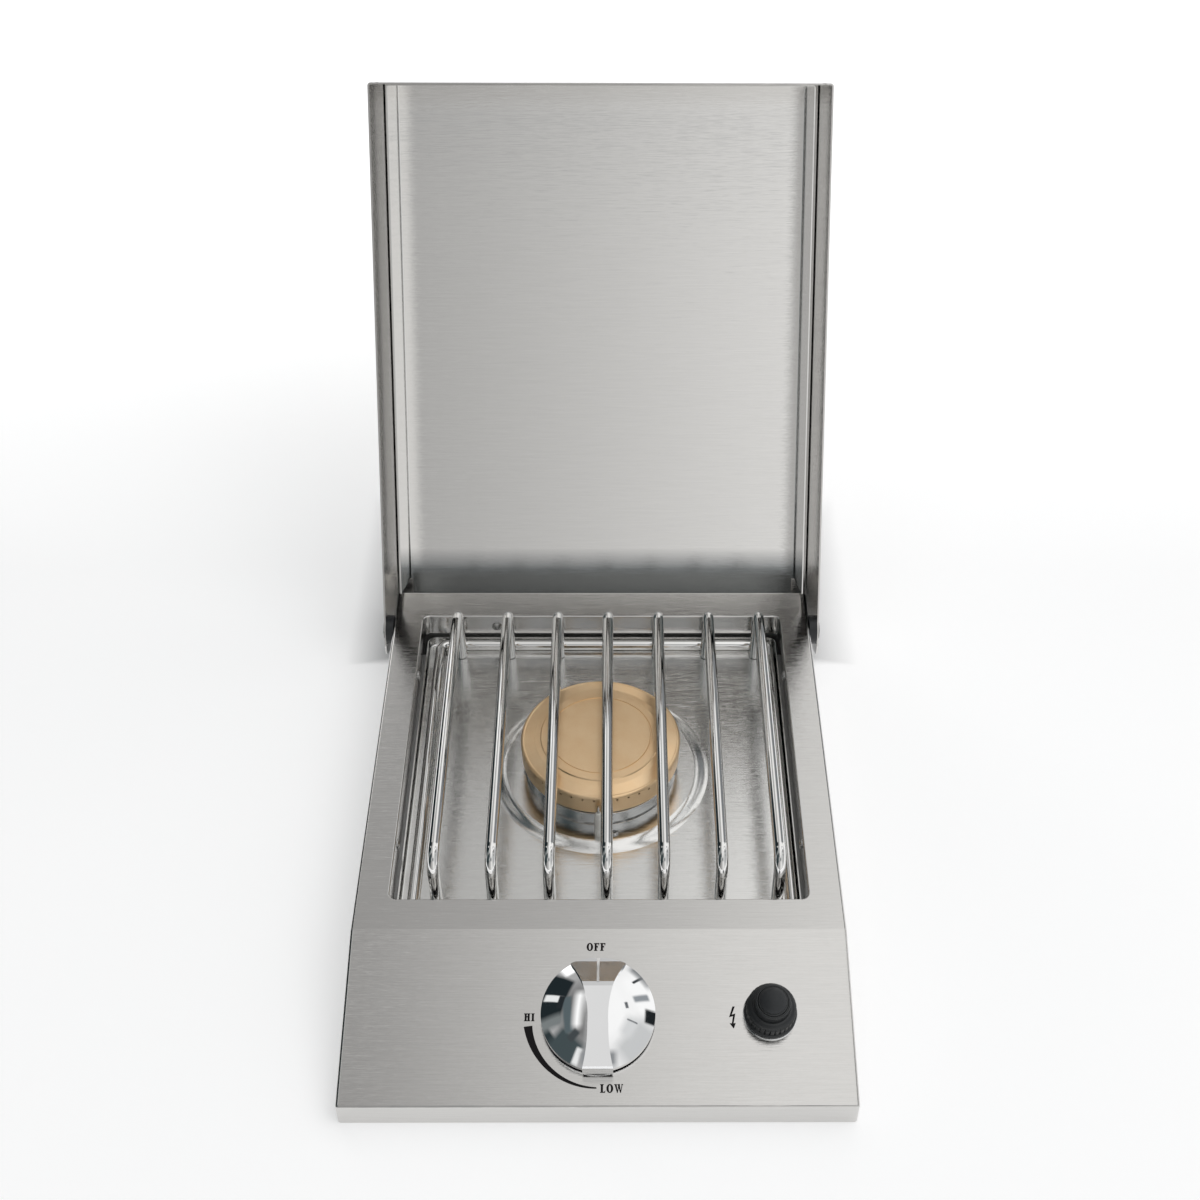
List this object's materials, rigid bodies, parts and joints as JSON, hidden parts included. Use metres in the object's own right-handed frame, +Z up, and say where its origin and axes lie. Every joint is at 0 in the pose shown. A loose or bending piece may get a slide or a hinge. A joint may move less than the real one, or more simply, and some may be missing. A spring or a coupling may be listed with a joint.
{
  "type": "built in side burner",
  "caption": "Drop-in stainless gas side burner with hinged lid, rod grate, round brass-capped burner, drip pan, chrome knob and push igniter.",
  "frame": {"origin": "on the counter plane, on the centre line, at the middle of the front seat flange underside", "axes": "+X to the user's right, +Y to the back of the counter, +Z up out of the counter"},
  "size_m": [0.3346, 0.6643, 0.4681],
  "materials": {
    "satin_steel": "satin brushed stainless",
    "sheet_steel": "plain mill finish stainless",
    "bright_rod": "polished stainless rod",
    "bright_ring": "polished",
    "screw_steel": "machined",
    "spring_wire": "drawn wire",
    "cap_brass": "turned, matt",
    "cast_aluminium": "as cast",
    "valve_brass": "machined",
    "pipe_steel": "plain",
    "stem_steel": "machined",
    "knob_chrome": "bright chrome plating",
    "igniter_black": "moulded, satin",
    "boot_rubber": "matt",
    "bush_black": "moulded",
    "cell_jacket": "gloss sleeve",
    "contact_tin": "tinned",
    "white_ceramic": "glazed"
  },
  "bodies": {
    "base": {"top_frame": "satin_steel", "housing": "sheet_steel", "heat_shield": "sheet_steel", "housing_screws": "screw_steel", "pan_rails": "sheet_steel", "drip_pan": "satin_steel", "burner_head": "cast_aluminium", "burner_ring": "bright_ring", "ring_screws": "screw_steel", "clamp_ring": "sheet_steel", "clamp_screws": "screw_steel", "mixer_tube": "sheet_steel", "shutter_screw": "screw_steel", "tube_bracket": "sheet_steel", "bracket_screw": "screw_steel", "valve_body": "valve_brass", "valve_bonnet": "sheet_steel", "valve_screws": "screw_steel", "valve_spring": "spring_wire", "orifice": "valve_brass", "manifold_pipe": "pipe_steel", "manifold_plug": "valve_brass", "inlet_elbow": "valve_brass", "inlet_locknut": "valve_brass", "igniter_body": "igniter_black", "igniter_washer": "bright_ring", "igniter_nut": "igniter_black", "igniter_spring": "spring_wire", "battery": "cell_jacket", "battery_contact": "contact_tin", "igniter_terminals": "contact_tin", "electrode_ceramic": "white_ceramic", "electrode_rod": "contact_tin", "electrode_clip": "sheet_steel", "electrode_screw": "screw_steel", "lid_bushes": "bush_black", "lid_pivot_screws": "screw_steel", "lid_pivot_nuts": "screw_steel"},
    "lid": {"lid_shell": "satin_steel", "lid_liner": "satin_steel", "lid_stiffeners": "sheet_steel"},
    "grate": {"grate_ring": "bright_rod", "grate_bars": "bright_rod"},
    "cap": {"burner_cap": "cap_brass"},
    "shutter": {"air_shutter": "sheet_steel"},
    "stem_carrier": {"spring_seat": "screw_steel"},
    "knob_set": {"knob": "knob_chrome", "knob_hub": "valve_brass", "knob_clip": "spring_wire", "valve_stem": "stem_steel"},
    "plug": {"valve_plug": "valve_brass"},
    "button": {"igniter_button": "igniter_black", "igniter_boot": "boot_rubber"}
  },
  "joints": [
    {"name": "lid_hinge", "type": "hinge", "parent": "base", "child": "lid", "pos_m": [0, 0.38368, 0.03928], "axis": [1, 0, 0], "range_deg": [0, 120]},
    {"name": "grate_lift", "type": "slide", "parent": "base", "child": "grate", "axis": [0, 0, 1], "range_m": [0, 0.03]},
    {"name": "cap_lift", "type": "slide", "parent": "base", "child": "cap", "axis": [0, 0, 1], "range_m": [0, 0.006]},
    {"name": "knob_push", "type": "slide", "parent": "base", "child": "stem_carrier", "axis": [0, 0.2701, -0.9628], "range_m": [0, 0.0027], "stiffness_N_per_m": 1500, "springref_m": -0.005, "deforming": ["valve_spring"]},
    {"name": "knob_turn", "type": "hinge", "parent": "stem_carrier", "child": "knob_set", "pos_m": [0, 0.0442, 0.03261], "axis": [0, -0.2701, 0.9628], "range_deg": [0, 180]},
    {"name": "plug_turn", "type": "hinge", "parent": "base", "child": "plug", "pos_m": [0, 0.055, -0.00591], "axis": [0, -0.2701, 0.9628], "range_deg": [0, 180]},
    {"name": "igniter_push", "type": "slide", "parent": "base", "child": "button", "axis": [0, 0.2701, -0.9628], "range_m": [0, 0.0035], "stiffness_N_per_m": 500, "springref_m": -0.004, "deforming": ["igniter_spring"]},
    {"name": "shutter_turn", "type": "hinge", "parent": "base", "child": "shutter", "pos_m": [0, 0.10068, -0.016], "axis": [0, 1, 0], "range_deg": [0, 50]}
  ],
  "couplings": [
    {"joint": "plug_turn", "follows": "knob_turn", "ratio": 1}
  ]
}
